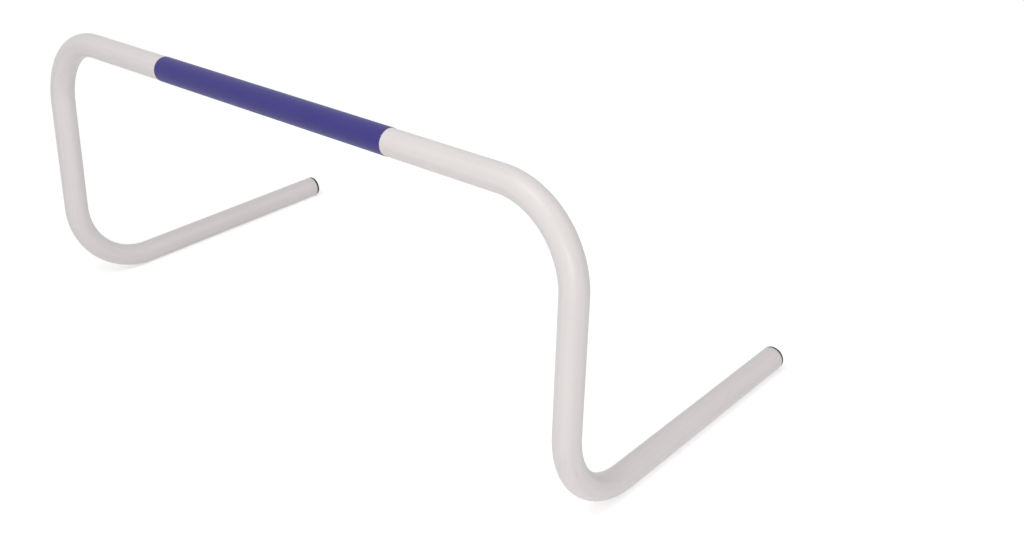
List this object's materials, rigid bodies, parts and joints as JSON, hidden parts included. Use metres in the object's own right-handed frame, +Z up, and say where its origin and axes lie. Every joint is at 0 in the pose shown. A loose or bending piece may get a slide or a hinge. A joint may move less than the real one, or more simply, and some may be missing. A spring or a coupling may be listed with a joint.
{
  "type": "speed hurdle",
  "caption": "Low free-standing training hurdle bent from one white plastic tube, with a blue film wrap on the crossbar and dark rubber plugs in the foot ends.",
  "frame": {"origin": "on the floor, under the middle of the hurdle's outline", "axes": "+X along the crossbar, +Y from the legs out along the feet, +Z up"},
  "size_m": [0.61, 0.2824, 0.2502],
  "materials": {
    "white_tube": "satin extruded PVC, slightly warm white",
    "blue_film": "satin violet-blue vinyl film",
    "plug_rubber": "matt moulded rubber, charcoal"
  },
  "bodies": {
    "root": {"bent_tube": "white_tube", "crossbar_wrap": "blue_film", "left_end_plug": "plug_rubber", "right_end_plug": "plug_rubber"}
  },
  "joints": []
}
